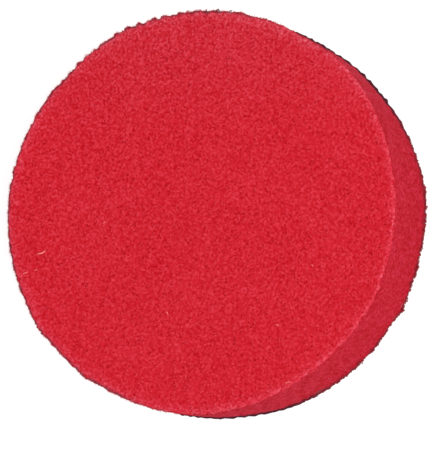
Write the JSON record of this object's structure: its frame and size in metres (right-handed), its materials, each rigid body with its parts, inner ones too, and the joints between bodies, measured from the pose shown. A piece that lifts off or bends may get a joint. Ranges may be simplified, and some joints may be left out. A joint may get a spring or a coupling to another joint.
{
  "type": "foam polishing pad",
  "caption": "Thick round disc of red open-cell foam with a flat working face, bonded by hot-melt film to a knitted cloth of fine loops that grips a polisher's backing plate.",
  "frame": {"origin": "centre of the pad on the plane of the loop tips, which is what the pad rests on when it is laid loops down", "axes": "+Z is the pad's axis of revolution and points from the loops to the working face; X and Y lie in the plane of the loops and have no preferred direction, because the pad is round"},
  "size_m": [0.09, 0.09, 0.0255],
  "materials": {
    "foam": "matte",
    "hot_melt": "satin",
    "backing_knit": "matte",
    "loops": "matte"
  },
  "bodies": {
    "root": {"foam_disc": "foam", "adhesive_film": "hot_melt", "backing_cloth": "backing_knit", "loop_pile": "loops"}
  },
  "joints": []
}
